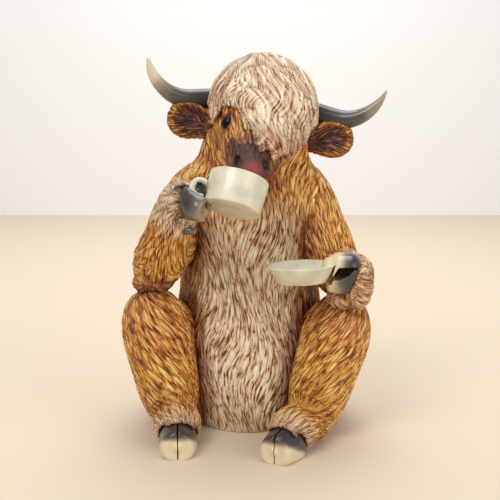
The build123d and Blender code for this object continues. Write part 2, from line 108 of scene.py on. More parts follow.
def ease(values, low, high):
    """A smooth step from 0 at low to 1 at high."""
    share = np.clip((np.asarray(values, float) - low) / (high - low), 0, 1)
    return share * share * (3 - 2 * share)


def near(points, centre, inner, outer):
    """1 within inner of a centre, falling to 0 at outer."""
    return 1 - ease(np.linalg.norm(points - np.array(centre, float), axis=1), inner, outer)


def unit(vectors):
    """Each vector at length 1."""
    return vectors / np.maximum(np.linalg.norm(vectors, axis=1, keepdims=True), 1e-9)


def gap(points, reach, *nodes):
    """Distance from each point to the nearest of these CAD nodes, no more than reach."""
    least = np.full(len(points), float(reach))
    for node in nodes:
        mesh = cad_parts[node].data
        corners = [vertex.co for vertex in mesh.vertices]
        tree = BVHTree.FromPolygons(corners, [face.vertices for face in mesh.polygons])
        found = [tree.find_nearest(place, reach * MM)[3] for place in points * MM]
        least = np.minimum(least, [reach if far is None else far * 1000 for far in found])
    return least


def fillet(piece, where, reach, *nodes):
    """Swell a piece toward its neighbours, so that their coats run into each other."""
    points, normals = read(piece, "co"), read(piece, "no")
    share = (1 - gap(points, reach, *nodes) / reach) * where(points)
    write(piece, points + normals * (share * share * reach / 4)[:, None])


def comb(piece, across, run):
    """Where each vertex lies across and along the hair, in millimetres, for the fine paint."""
    attribute(piece, "across", across)
    attribute(piece, "run", run)


def round_axis(points, x, y, radius):
    """Distance round an upright axis at x and y, measured at a radius, from the front."""
    return radius * np.arctan2(points[:, 0] - x, y - points[:, 1])


def along_bones(points, bones, lean):
    """The lie of the hair down a chain of joints, leaning toward the middle of the front."""
    lie, total = np.zeros_like(points), 0
    for start, end in zip(np.array(bones[:-1], float), np.array(bones[1:], float)):
        axis = (end - start) / np.linalg.norm(end - start)
        share = np.clip((points - start) @ axis, 0, np.linalg.norm(end - start))
        arm = points - start - share[:, None] * axis
        across = np.cross(axis, (0, -1, 0))
        across /= np.linalg.norm(across)
        turn = (unit(arm) @ across)[:, None]
        weight = 1 / (np.linalg.norm(arm, axis=1, keepdims=True) + 1) ** 4
        lie += weight * unit(axis - lean * turn * across)
        total = total + weight
    return unit(lie / total)


def carve(piece, seed, lie, length, depth, spacing, curl=0.25, bald=None):
    """Strands of hair cut into the surface, all in millimetres.

    Each strand is a path that follows the lie from a scattered root. The surface rises to
    the strand's middle and falls into the groove beside it. bald is 1 where it stays smooth.
    """
    points, normals = read(piece, "co"), read(piece, "no")
    lie = unit(lie - normals * (lie * normals).sum(1, keepdims=True))
    random = np.random.default_rng(seed)
    order = random.permutation(len(points))
    cells = np.floor(points[order] / spacing).astype(np.int64) @ np.array([1, 4096, 16777216])
    roots = order[np.unique(cells, return_index=True)[1]]
    skin = KDTree(len(points))
    for i, place in enumerate(points):
        skin.insert(place, i)
    skin.balance()
    step = 1.0
    count = len(roots)
    steps = max(int(length / step), 3)
    reach = random.uniform(0.65, 1.0, count)
    wide = random.uniform(0.7, 1.3, count)
    tall = random.uniform(0.0, 1.0, count)
    shade = random.uniform(0, 1, count)
    swing = random.normal(0, curl, count)
    phase = random.uniform(0, 6.28, count)
    here, spot = points[roots], roots
    path, heading, facing, share = [], [], [], []
    for k in range(steps):
        turn = swing + curl * np.sin(phase + 3.0 * k / steps)
        forward = lie[spot]
        aside = np.cross(normals[spot], forward)
        forward = forward * np.cos(turn)[:, None] + aside * np.sin(turn)[:, None]
        path.append(here)
        heading.append(forward)
        facing.append(normals[spot])
        share.append(np.full(count, k / (steps - 1)) / reach)
        ahead = here + forward * step
        spot = np.array([skin.find(place)[1] for place in ahead])
        here = ahead - normals[spot] * ((ahead - points[spot]) * normals[spot]).sum(1, keepdims=True)
    strand = np.tile(np.arange(count), steps)
    path, heading, facing, share = (np.concatenate(rows) for rows in (path, heading, facing, share))
    live = share <= 1
    strand, path, heading, facing, share = (rows[live] for rows in (strand, path, heading, facing, share))
    body = np.minimum(share / 0.2, 1) * np.minimum((1 - share) / 0.5, 1)
    tree = KDTree(len(path))
    for i, place in enumerate(path):
        tree.insert(place, i)
    tree.balance()
    close = np.array([[found[1] for found in tree.find_n(place, 12)] for place in points])
    offset = points[:, None] - path[close]
    onward = (offset * heading[close]).sum(2)
    sideways = (offset * np.cross(facing[close], heading[close])).sum(2)
    away = np.hypot(sideways, np.maximum(np.abs(onward) - 0.6 * step, 0))
    away /= wide[strand[close]] * (0.45 + 0.55 * body[close])
    best = away.argmin(1)
    row = np.arange(len(points))
    owner = strand[close[row, best]]
    first = away[row, best]
    second = np.where(strand[close] == owner[:, None], 9.0, away).min(1)
    height = ((second - first) / (second + first)) ** 0.8 * (0.8 + 0.2 * tall[owner])
    still = np.zeros(len(points)) if bald is None else bald
    height = height * (1 - still) + 0.5 * still
    moved = points + normals * ((height - 0.4) * depth)[:, None]
    moved[:, 2] = np.maximum(moved[:, 2], 0)
    write(piece, moved)
    attribute(piece, "ridge", height)
    attribute(piece, "tone", shade[owner])
    return points, normals


def thin(piece, most):
    """Collapse the flattest triangles until the piece has at most this many."""
    faces = 2 * len(piece.data.polygons)
    if faces > most:
        bpy.context.view_layer.objects.active = piece
        collapse = piece.modifiers.new("thin", "DECIMATE")
        collapse.ratio = most / faces
        bpy.ops.object.modifier_apply(modifier="thin")


def srgb(red, green, blue):
    """An 8-bit display colour as the linear colour that shaders take."""
    levels = [level / 255 for level in (red, green, blue)]
    return tuple(c / 12.92 if c < 0.04045 else ((c + 0.055) / 1.055) ** 2.4 for c in levels) + (1.0,)


def node(material, kind, **values):
    """A new shader node of this kind, with its settings."""
    made = material.node_tree.nodes.new(kind)
    for name, value in values.items():
        setattr(made, name, value)
    return made


def link(material, source, target):
    material.node_tree.links.new(source, target)


def ramp(material, source, stops):
    """Colours between stops, each a place from 0 to 1 and a colour."""
    made = node(material, "ShaderNodeValToRGB")
    band = made.color_ramp
    while len(band.elements) < len(stops):
        band.elements.new(0.5)
    for element, (place, colour) in zip(band.elements, stops):
        element.position = place
        element.color = colour
    link(material, source, made.inputs["Fac"])
    return made.outputs["Color"]


def blend(material, factor, first, second, mode="MIX"):
    """One colour laid over another by a factor."""
    made = node(material, "ShaderNodeMix", data_type="RGBA", blend_type=mode)
    for value, socket in ((factor, made.inputs[0]), (first, made.inputs[6]), (second, made.inputs[7])):
        if isinstance(value, bpy.types.NodeSocket):
            link(material, value, socket)
        else:
            socket.default_value = value
    return made.outputs[2]


def sum_of(material, *terms):
    """The sum of value times scale over the terms."""
    total = None
    for value, scale in terms:
        made = node(material, "ShaderNodeMath", operation="MULTIPLY_ADD")
        link(material, value, made.inputs[0])
        made.inputs[1].default_value = scale
        made.inputs[2].default_value = 0
        if total:
            link(material, total, made.inputs[2])
        total = made.outputs[0]
    return total


def value_of(material, name):
    """A number stored on the vertices of the piece."""
    return node(material, "ShaderNodeAttribute", attribute_name=name).outputs["Fac"]


def noise(material, scale, detail=3.0):
    """Soft noise through space, with this many waves to a metre."""
    place = node(material, "ShaderNodeTexCoord").outputs["Object"]
    made = node(material, "ShaderNodeTexNoise")
    made.inputs["Scale"].default_value = scale
    made.inputs["Detail"].default_value = detail
    link(material, place, made.inputs["Vector"])
    return made.outputs["Fac"]


def hairs(material, shader, width, run, depth):
    """Streaks of this width and run along the strands, that also raise a bump."""
    warp = (noise(material, 90.0), 4.0)
    place = node(material, "ShaderNodeCombineXYZ")
    link(material, sum_of(material, (value_of(material, "across"), 1 / width), warp), place.inputs["X"])
    link(material, sum_of(material, (value_of(material, "run"), 1 / run)), place.inputs["Y"])
    streak = node(material, "ShaderNodeTexNoise")
    streak.inputs["Scale"].default_value = 1.0
    streak.inputs["Detail"].default_value = 2.0
    link(material, place.outputs["Vector"], streak.inputs["Vector"])
    bump = node(material, "ShaderNodeBump")
    bump.inputs["Distance"].default_value = depth * MM
    link(material, streak.outputs["Fac"], bump.inputs["Height"])
    link(material, bump.outputs["Normal"], shader.inputs["Normal"])
    return streak.outputs["Fac"]


def surface(name, rough, coat=0.0):
    """A new paint with its roughness and its share of clear varnish."""
    material = bpy.data.materials.new(name)
    material.use_nodes = True
    shader = material.node_tree.nodes["Principled BSDF"]
    shader.inputs["Roughness"].default_value = rough
    shader.inputs["Coat Weight"].default_value = coat
    shader.inputs["Coat Roughness"].default_value = 0.12
    return material, shader


# The coat's paint: a dark wash in the grooves and a pale dry-brush on the ridges. Masks give the cream
# underside, the grey-beige cuffs and the insides of the ears, and one dark mask that is partly the coat's
# own dark paint round the eye, the muzzle and the ears and partly painted shade in the creases between the
# castings.
coat, coat_shader = surface("coat_paint", 0.48)
coat_level = sum_of(
    coat,
    (value_of(coat, "ridge"), 0.25),
    (hairs(coat, coat_shader, width=0.6, run=6.0, depth=1.0), 0.9),
    (value_of(coat, "tone"), 0.06),
)
coat_brown = ramp(coat, coat_level, [
    (0.4, srgb(70, 26, 8)),
    (0.51, srgb(156, 82, 24)),
    (0.61, srgb(212, 132, 50)),
    (0.75, srgb(250, 204, 128)),
])
coat_gold = ramp(coat, coat_level, [
    (0.4, srgb(84, 38, 8)),
    (0.51, srgb(174, 102, 26)),
    (0.61, srgb(226, 156, 56)),
    (0.75, srgb(254, 220, 138)),
])
coat_cream = ramp(coat, coat_level, [
    (0.4, srgb(92, 50, 26)),
    (0.5, srgb(184, 136, 96)),
    (0.59, srgb(232, 202, 162)),
    (0.74, srgb(255, 246, 222)),
])
coat_grey = ramp(coat, coat_level, [
    (0.4, srgb(78, 52, 40)),
    (0.5, srgb(186, 144, 112)),
    (0.6, srgb(228, 192, 154)),
    (0.76, srgb(250, 234, 206)),
])
coat_dark = ramp(coat, coat_level, [
    (0.4, srgb(46, 12, 6)),
    (0.56, srgb(112, 48, 20)),
    (0.78, srgb(190, 112, 56)),
])
coat_inside = ramp(coat, coat_level, [
    (0.4, srgb(30, 14, 13)),
    (0.56, srgb(92, 54, 46)),
    (0.76, srgb(172, 120, 100)),
])
coat_patch = ramp(coat, noise(coat, 26.0, 1.0), [(0.42, (0, 0, 0, 1)), (0.62, (1, 1, 1, 1))])
coat_colour = blend(coat, coat_patch, coat_brown, coat_gold)
coat_colour = blend(coat, value_of(coat, "cream"), coat_colour, coat_cream)
coat_colour = blend(coat, value_of(coat, "grey"), coat_colour, coat_grey)
# This dark blend is partly painted shade, laid in the creases between the castings and under the chin, and
# partly the coat's own dark paint round the eye, the muzzle and the ears.
coat_colour = blend(coat, value_of(coat, "dark_paint_and_shade"), coat_colour, coat_dark)
coat_colour = blend(coat, value_of(coat, "inside"), coat_colour, coat_inside)
link(coat, coat_colour, coat_shader.inputs["Base Color"])


def paint(piece, cream, grey, dark_paint_and_shade):
    """Store the masks of the coat's paint and painted shade, each from 0 to 1, and give the piece that
    paint.
    """
    attribute(piece, "cream", cream)
    attribute(piece, "grey", grey)
    attribute(piece, "dark_paint_and_shade", dark_paint_and_shade)
    piece.data.materials.append(coat)
    thin(piece, MOST_TRIANGLES)


# Sizes, places and fades in millimetres, and shares of a size
FUR_VOXEL = 0.36
FUR_SMOOTH = 14
TORSO_AXIS = [(3, 0, 128), (0, 0, 0)]
TORSO_RADIUS = 32
SEAT_NARROWING = 0.2
SEAT_FORWARD = 0.1
TAPER_TOP = 26
SHOULDER_RISE = (82, 96)
SHOULDER_FILLET = 9.0
NECK_RISE = (100, 110)
NECK_FILLET = 8.0
CHEST_RISE = (62, 88)
SWAY_HEIGHT = 9
SWAY_WIDTH = 8
SWAY_SLOPE = 0.33
SWAY_REACH = 3.0
BELLY_MIDDLE = 1
BELLY_FADE = (13, 29)
CREAM_FADE = (78, 104)
ARMPIT_FADE = (84, 100)
PAINTED_SHADE_REACH = 8.0
THROAT = (0, -30, 104)

torso = cast("torso", ["torso"], FUR_VOXEL, FUR_SMOOTH)
points = read(torso, "co")
taper = 1 - ease(points[:, 2], 0, TAPER_TOP)
points[:, 0] *= 1 - SEAT_NARROWING * taper
points[:, 1] *= 1 + SEAT_FORWARD * taper * (points[:, 1] < 0)
write(torso, points)
fillet(
    torso,
    lambda points: ease(points[:, 2], *SHOULDER_RISE),
    SHOULDER_FILLET,
    "right_foreleg",
    "left_foreleg",
)
fillet(torso, lambda points: ease(points[:, 2], *NECK_RISE), NECK_FILLET, "head")
points, normals = read(torso, "co"), read(torso, "no")
seat = ease(-normals[:, 2], 0.8, 0.95)
chest = ease(points[:, 2:], *CHEST_RISE)
sway = points[:, 2] / SWAY_HEIGHT + points[:, 0] / SWAY_WIDTH
lie = along_bones(points, TORSO_AXIS, 0.6 * chest)
lie[:, 0] += SWAY_SLOPE * np.cos(sway)
carve(torso, 1, unit(lie), length=12.0, depth=0.7, spacing=4.9, curl=0.12, bald=seat)
narrowing = np.exp(-0.012 * np.maximum(points[:, 2] - 75, 0))
around = round_axis(points, 2, 0, TORSO_RADIUS) * narrowing
comb(torso, around + SWAY_REACH * np.sin(sway), points[:, 2])
front = ease(-normals[:, 1], 0.1, 0.65)
middle = 1 - ease(np.abs(points[:, 0] - BELLY_MIDDLE), *BELLY_FADE)
cream = front * middle * (1 - ease(points[:, 2], *CREAM_FADE))
# Painted shade: the coat darkens where it meets the legs, fading out above the armpits, and under the chin
# at the throat.
limbs = gap(points, PAINTED_SHADE_REACH, "right_hind_leg", "left_hind_leg", "right_foreleg", "left_foreleg")
shade_between_parts = (1 - limbs / PAINTED_SHADE_REACH) * (1 - ease(points[:, 2], *ARMPIT_FADE))
dark_paint_and_shade = np.maximum(shade_between_parts, 0.8 * near(points, THROAT, 4, 16))
paint(torso, cream, 0 * cream, dark_paint_and_shade)


# Hind legs: two resin castings pinned to the torso at the hips, knees up and feet along the
# table. The coat runs down them to grey-beige pasterns above the hooves.
LEG_STRANDS = {"length": 11.0, "depth": 0.65, "spacing": 4.6, "curl": 0.12}
HIND_RADIUS = 13
HIND_CUFF = 9.0


def round_bones(points, bones, radius):
    """Distance round the nearest of a chain of joints, and the distance down the chain."""
    across = np.zeros(len(points))
    run = np.zeros(len(points))
    least = np.full(len(points), 1e9)
    done = 0
    for start, end in zip(np.array(bones[:-1], float), np.array(bones[1:], float)):
        span = np.linalg.norm(end - start)
        axis = (end - start) / span
        share = np.clip((points - start) @ axis, 0, span)
        arm = points - start - share[:, None] * axis
        far = np.linalg.norm(arm, axis=1)
        aside = np.cross(axis, (0, -1, 0)) / np.linalg.norm(np.cross(axis, (0, -1, 0)))
        turn = np.arctan2(arm @ aside, arm @ np.cross(aside, axis))
        mine = far < least
        across[mine], run[mine], least[mine] = radius * turn[mine], done + share[mine], far[mine]
        done += span
    return across, run


for name, side, knee, heel, ankle in (
    ("right", -1, (-39.5, -31, 49), (-31, -33, 8.5), (-28, -49, 8)),
    ("left", 1, (38.5, -31, 46.5), (27, -36, 8.5), (17, -55, 8)),
):
    leg = cast(f"{name}_hind_leg", [f"{name}_hind_leg"], FUR_VOXEL, FUR_SMOOTH)
    points = read(leg, "co")
    above_knee = 1.6 * np.array(knee) - 0.6 * np.array(heel)
    bones = [above_knee, heel, ankle]
    lie = along_bones(points, bones, 0.1)
    lie[:, 0] -= 0.8 * side * ease(-side * (points[:, 0] - knee[0]), -8, 8)
    points, normals = carve(leg, 11 + side, unit(lie), **LEG_STRANDS)
    around, run = round_bones(points, bones, HIND_RADIUS)
    comb(leg, around - 0.5 * side * run, run)
    claws = gap(points, HIND_CUFF, f"{name}_hind_left_claw", f"{name}_hind_right_claw")
    cuff = 1 - claws / HIND_CUFF
    # Painted shade where the leg meets the torso and the foreleg. The coat is also darker just above the
    # claws.
    shade_between_parts = 1 - gap(points, PAINTED_SHADE_REACH, "torso", f"{name}_foreleg") / PAINTED_SHADE_REACH
    dark_paint_and_shade = np.maximum(0.9 * shade_between_parts, 0.8 * ease(cuff, 0.86, 1.0))
    paint(leg, 0 * dark_paint_and_shade, 0.8 * ease(cuff, 0.3, 1.0), dark_paint_and_shade)


# Forelegs: two resin castings pinned at the shoulders, each with an elbow on a knee. The
# right one raises the cup and the left one holds the saucer. Thick cuffs of fur are cast on.
FORE_RADIUS = 11
FORE_CUFF = 12.0
FORE_FADE = (84, 98)


def tuft(place, size):
    """An ellipsoid of fur, to be cast into a piece where the coat is thicker."""
    bpy.ops.mesh.primitive_uv_sphere_add(segments=48, ring_count=24, radius=MM, scale=size)
    made = bpy.context.object
    made.location = Vector(place) * MM
    bpy.ops.object.transform_apply(location=True, rotation=True, scale=True)
    bpy.ops.object.select_all(action="DESELECT")
    return made


for name, side, elbow, wrist, toe, pads in (
    ("right", -1, (-38, -26, 71), (-27, -43, 100), (-18.7, -48.2, 98), (
        ((-29.6, -43.3, 98.6), (5.9, 6.9, 7.5)),
        ((-40, -28.3, 64.2), (8.5, 8, 6.0)),
    )),
    ("left", 1, (39.5, -19, 67), (44.5, -41, 70), (34.5, -45, 70), (
        ((44.9, -43, 66.6), (5.9, 9.8, 11.0)),
        ((39.5, -38.5, 59.5), (7.5, 8, 4.5)),
    )),
):
    tufts = [tuft(place, size) for place, size in pads]
    arm = cast(f"{name}_foreleg", [f"{name}_foreleg"], FUR_VOXEL, FUR_SMOOTH, tufts)
    fillet(arm, lambda points: ease(points[:, 2], *SHOULDER_RISE), SHOULDER_FILLET, "torso")
    bones = [(side * 23, 0, 110), elbow, wrist, toe]
    lie = along_bones(read(arm, "co"), bones, 0.4)
    points, normals = carve(arm, 21 + side, lie, **LEG_STRANDS)
    around, run = round_bones(points, bones, FORE_RADIUS)
    comb(arm, around - 0.2 * side * run, run)
    claws = gap(points, FORE_CUFF, f"{name}_fore_upper_claw", f"{name}_fore_lower_claw")
    grey = (0.75 - 0.25 * side) * ease(1 - claws / FORE_CUFF, 0.05, 0.6)
    # Painted shade where the foreleg meets the torso and the hind leg, below the shoulders.
    shade_between_parts = 1 - gap(points, PAINTED_SHADE_REACH, "torso", f"{name}_hind_leg") / PAINTED_SHADE_REACH
    dark_paint_and_shade = 0.9 * shade_between_parts * (1 - ease(points[:, 2], *FORE_FADE))
    paint(arm, 0 * dark_paint_and_shade, grey, dark_paint_and_shade)


# Head: a resin casting dowelled on the neck, with short hair on the cheeks and a dark ring
# round the eye. The forelock, ears, horns and nose pad are fixed to it as pieces of their own.
HEAD_AXIS = (6.5, -5)
HEAD_RADIUS = 18
TEMPLE_SIZE = (5.5, 5, 6)
LID_HEIGHT = 0.5
CROWN_SINK = 1.2
CROWN_RISE = (138, 144)
JOWL_RISE = (-126, -120)
JOWL_FILLET = 7.0
MUZZLE_REACH = 9.0


def along_guides(points, guides):
    """The lie of the hair from guides, each a place and a direction, weighted by nearness."""
    places = np.array([place for place, lie in guides], float)
    lies = unit(np.array([lie for place, lie in guides], float))
    weight = 1 / (np.linalg.norm(points[:, None] - places[None], axis=2) + 3) ** 3
    return unit((weight[:, :, None] * lies[None]).sum(1))


temples = [tuft((-14, -6, 134), TEMPLE_SIZE), tuft((27, -6, 130), TEMPLE_SIZE)]
head = cast("head", ["head"], FUR_VOXEL, 10, temples)
low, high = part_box("right_eye")
eye_spot = np.array((low + high) / 2) * 1000
head_guides = [
    ((-8, -24, 140), (-0.2, -0.4, 1)),
    (tuple(eye_spot + (6, -2, -2)), (0.5, -0.6, -0.8)),
    (tuple(eye_spot + (-7, 3, -2)), (-0.8, 0.4, -0.6)),
    (tuple(eye_spot + (0, 0, -8)), (-0.1, -0.3, -1)),
    ((2, -38, 124), (-0.2, -0.5, -0.9)),
    ((-10, -20, 116), (-0.2, 0.2, -1)),
    ((18, -22, 116), (0.2, 0.2, -1)),
    ((6, 10, 140), (0, 0.4, -1)),
]
fillet(head, lambda points: ease(-points[:, 2], *JOWL_RISE), JOWL_FILLET, "torso")
points, normals = read(head, "co"), read(head, "no")
lids = near(points, eye_spot, 3.4, 4.8) - near(points, eye_spot, 2.4, 3.4)
covered = ease(points[:, 2], *CROWN_RISE) * (1 - ease(gap(points, 3.0, "forelock"), 0.3, 1.5))
write(head, points + normals * (LID_HEIGHT * lids - CROWN_SINK * covered)[:, None])
bald = near(points, eye_spot, 3.0, 4.5)
lie = along_guides(points, head_guides)
points, normals = carve(head, 31, lie, length=7.0, depth=0.4, spacing=3.3, curl=0.15, bald=bald)
comb(head, round_axis(points, *HEAD_AXIS, HEAD_RADIUS) + 0.25 * points[:, 2], points[:, 2])
socket = near(points, eye_spot, 3.0, 5.5)
muzzle = gap(points, MUZZLE_REACH, "nose_pad")
attribute(head, "inside", np.maximum(1 - ease(muzzle, 0.2, 3.5), 0.8 * near(points, eye_spot, 2.6, 4.0)))
paint(head, 0 * socket, 0 * socket, np.clip(0.2 + socket + 1 - ease(muzzle, 1, 6.5), 0, 1))


# Nose pad: the muzzle's tip, a casting of its own glued to the head and dipped in the cup. It
# is painted purple-brown, pink between the nostrils and ochre where the fur begins.
NOSE_MIDDLE = (1.6, -45.5, 111.5)
RIGHT_NOSTRIL = (-4.4, -43.6, 115.6)
LEFT_NOSTRIL = (7.4, -44.1, 113.7)
NOSTRIL_FADE = (1.0, 2.6)
RIM_MIDDLE = 1.4
RIM_FADE = (6.0, 8.5)

nose = cast("nose_pad", ["nose_pad"], 0.3, 6)
points = read(nose, "co")
attribute(nose, "pink", near(points, NOSE_MIDDLE, 1.5, 5.5))
right_hole = near(points, RIGHT_NOSTRIL, *NOSTRIL_FADE)
left_hole = near(points, LEFT_NOSTRIL, *NOSTRIL_FADE)
attribute(nose, "hole", np.maximum(right_hole, left_hole))
comb(nose, points[:, 0], points[:, 2])
attribute(nose, "rim", ease(np.abs(points[:, 0] - RIM_MIDDLE), *RIM_FADE))
nose_paint, nose_shader = surface("nose_paint", 0.55)
nose_level = hairs(nose_paint, nose_shader, width=0.6, run=3.0, depth=0.5)
nose_colour = ramp(nose_paint, nose_level, [(0.35, srgb(44, 20, 18)), (0.65, srgb(104, 60, 50))])
nose_colour = blend(nose_paint, value_of(nose_paint, "pink"), nose_colour, srgb(172, 74, 66))
nose_colour = blend(nose_paint, value_of(nose_paint, "hole"), nose_colour, srgb(26, 12, 12))
nose_rim = ramp(nose_paint, nose_level, [(0.4, srgb(86, 44, 18)), (0.7, srgb(186, 112, 46))])
nose_colour = blend(nose_paint, value_of(nose_paint, "rim"), nose_colour, nose_rim)
link(nose_paint, nose_colour, nose_shader.inputs["Base Color"])
nose.data.materials.append(nose_paint)


# Eye: a glossy black bead glued in a socket of the head, on the side that the forelock
# leaves free.
EYE_SIZE = (3.1, 2.8, 3.6)
EYE_SHIFT = (0.5, -0.6, -0.4)

bpy.ops.mesh.primitive_uv_sphere_add(
    segments=64, ring_count=32, radius=MM, location=(eye_spot + EYE_SHIFT) * MM, scale=EYE_SIZE
)
eye = bpy.context.object
eye.name = "right_eye"
bpy.ops.object.transform_apply(location=True, rotation=True, scale=True)
bpy.ops.object.shade_smooth()
eye_paint, eye_shader = surface("eye_gloss", 0.1)
eye_shader.inputs["Specular IOR Level"].default_value = 0.2
eye_colour = ramp(eye_paint, noise(eye_paint, 500.0), [(0.3, srgb(4, 3, 3)), (0.8, srgb(14, 9, 8))])
link(eye_paint, eye_colour, eye_shader.inputs["Base Color"])
eye.data.materials.append(eye_paint)
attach(eye, "root")
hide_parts("right_eye")
bpy.ops.object.select_all(action="DESELECT")


# Forelock: a mop of long wavy hair, cast in resin and glued over the skull. It is cream with
# a pinkish brown wash, and hangs over the cow's left eye in pointed locks.
HAIR_AXIS = (4, -8)
HAIR_RADIUS = 22
HAIR_THICKENING = 1.2
TIP_RISE = (117, 134)
FRINGE = (-12, -20, 139)

hair_paint, hair_shader = surface("hair_paint", 0.58)
hair_level = sum_of(
    hair_paint,
    (value_of(hair_paint, "ridge"), 0.25),
    (hairs(hair_paint, hair_shader, width=0.7, run=14.0, depth=1.0), 0.9),
    (value_of(hair_paint, "tone"), 0.06),
)
hair_pale = ramp(hair_paint, hair_level, [
    (0.4, srgb(112, 62, 40)),
    (0.5, srgb(190, 146, 112)),
    (0.6, srgb(232, 206, 172)),
    (0.75, srgb(255, 246, 224)),
])
hair_tip = ramp(hair_paint, hair_level, [
    (0.4, srgb(92, 40, 22)),
    (0.55, srgb(176, 118, 86)),
    (0.77, srgb(238, 200, 166)),
])
hair_colour = blend(hair_paint, value_of(hair_paint, "tip"), hair_pale, hair_tip)
link(hair_paint, hair_colour, hair_shader.inputs["Base Color"])

under = bpy.data.objects.new("under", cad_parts["forelock"].data.copy())
under.data.transform(Matrix.Translation((0, 0, -HAIR_THICKENING * MM)))
bpy.context.collection.objects.link(under)
forelock = cast("forelock", ["forelock"], FUR_VOXEL, 24, [under])
hair_guides = [
    ((6, -16, 158), (0.1, -1, -0.3)),
    ((-5, -23, 151), (-0.6, 0, -0.8)),
    ((-13, -17, 146), (-0.55, 0, -0.85)),
    ((-17, -10, 140), (-0.2, 0, -1)),
    ((-4, -27, 145), (0.3, 0, -0.95)),
    ((0, -31, 137), (0.5, 0, -0.85)),
    ((2, -33, 130), (0.15, 0, -1)),
    ((5, -28, 148), (0.55, 0, -0.8)),
    ((9, -31, 141), (0.1, 0, -1)),
    ((9, -36, 128), (0.05, 0, -1)),
    ((14, -36, 121), (0.2, 0, -1)),
    ((17, -24, 149), (0.3, 0, -0.9)),
    ((16, -29, 141), (-0.25, 0, -1)),
    ((18, -30, 132), (0.2, 0, -1)),
    ((25, -22, 141), (0.25, 0, -1)),
    ((26, -22, 132), (-0.1, 0, -1)),
    ((6, 14, 145), (0, 0.6, -1)),
    ((-14, 4, 140), (-0.3, 0.3, -1)),
    ((26, 4, 136), (0.3, 0.3, -1)),
]
points = read(forelock, "co")
lie = along_guides(points, hair_guides)
lie[:, 0] += 0.45 * np.sin(0.4 * points[:, 2] + 0.25 * points[:, 0])
points, normals = carve(forelock, 41, unit(lie), length=34.0, depth=0.9, spacing=7.6, curl=0.1)
wave = 2.2 * np.sin(0.33 * points[:, 2] + 0.15 * points[:, 0])
comb(forelock, round_axis(points, *HAIR_AXIS, HAIR_RADIUS) + wave, points[:, 2])
fringe = 0.8 * near(points, FRINGE, 3, 12)
attribute(forelock, "tip", np.maximum(1 - ease(points[:, 2], *TIP_RISE), fringe))
forelock.data.materials.append(hair_paint)


# Horns: two satin resin castings on steel pins in the skull, dark grey at the root and cream
# at the tip.
HORN_MIDDLE = 6.5
HORN_REACH = (22, 54)
HORN_RISE = (138, 156)
HORN_TIP_SWELL = 0.6

horn_paint, horn_shader = surface("horn_paint", 0.3, 0.35)
horn_level = sum_of(horn_paint, (value_of(horn_paint, "along"), 1.0), (noise(horn_paint, 90.0, 4.0), 0.3))
horn_colour = ramp(horn_paint, horn_level, [
    (0.15, srgb(38, 34, 33)),
    (0.6, srgb(86, 80, 74)),
    (0.85, srgb(172, 156, 130)),
    (1.0, srgb(228, 212, 180)),
])
link(horn_paint, horn_colour, horn_shader.inputs["Base Color"])
for name in ("right_horn", "left_horn"):
    horn = cast(name, [name], 0.4, 6)
    points, normals = read(horn, "co"), read(horn, "no")
    outward = ease(np.abs(points[:, 0] - HORN_MIDDLE), *HORN_REACH)
    along = outward * 0.7 + 0.3 * ease(points[:, 2], *HORN_RISE)
    attribute(horn, "along", along)
    write(horn, points + normals * (HORN_TIP_SWELL * ease(along, 0.6, 1.0))[:, None])
    horn.data.materials.append(horn_paint)


# Ears: two scooped resin leaves glued to the sides of the head, dark and veined inside, with
# a reddish fringe of hair round the rim.
EAR_LENGTH = 23
EAR_HALF_WIDTH = 8.25

for name, side, root, axis in (
    ("right", -1, (-12.8, -8, 127), (-0.919, -0.125, 0.374)),
    ("left", 1, (22.8, -8, 122.2), (0.985, -0.125, 0.123)),
):
    ear = cast(f"{name}_ear", [f"{name}_ear"], 0.3, 6)
    points, normals = read(ear, "co"), read(ear, "no")
    root, axis = np.array(root), np.array(axis)
    share = (points - root) @ axis / EAR_LENGTH
    rise = points - root - EAR_LENGTH * share[:, None] * axis
    half = EAR_HALF_WIDTH * np.interp(share, [-0.1, 0.2, 0.55, 0.8, 1.0], [0.3, 0.65, 1.0, 0.85, 0.3])
    inner = ease(-normals[:, 1], -0.1, 0.4) * (1 - ease(np.abs(rise[:, 2]) / half, 0.5, 0.8))
    inner *= 1 - ease(share, 0.72, 0.9)
    lie = axis + np.sign(rise[:, 2:]) * np.array([0, 0, 1.1]) * np.clip(np.abs(rise[:, 2:]) / 6, 0, 1)
    carve(ear, 51 + side, unit(lie), length=8.0, depth=0.6, spacing=3.7, curl=0.1)
    comb(ear, rise[:, 2] - 10 * np.sign(rise[:, 2]) * share, EAR_LENGTH * share)
    attribute(ear, "inside", inner)
    paint(ear, 0 * inner, 0 * inner, np.clip(inner + 0.4, 0, 1))


# Hooves: each is two glossy resin claws, glued to the leg with a cleft between, dark grey at
# the coronet and cream at the toe. The fore claws taper to their toes and the hind ones stand
# on flat soles.
RIGHT_HIND = (-28.2, -49, 6)
RIGHT_HIND_TOE = (0.04, -0.6, -1.2)
LEFT_HIND = (17, -55, 6)
LEFT_HIND_TOE = (-0.28, -0.53, -1.2)
HIND_PALE = (3, 9)
RIGHT_FORE = (-27, -47, 100)
RIGHT_FORE_TOE = (0.83, -0.52, -0.5)
RIGHT_FORE_PALE = (5, 25)
LEFT_FORE = (44.5, -45, 70)
LEFT_FORE_WEB = ((40.5, -44.5, 68.5), (4.5, 4.0, 3.2))
TOE_START = 36
HEEL_START = 40
SOLE_CUT = 2.2
SOLE_SPREAD = 0.2
CLEFT_CLOSING = 0.3

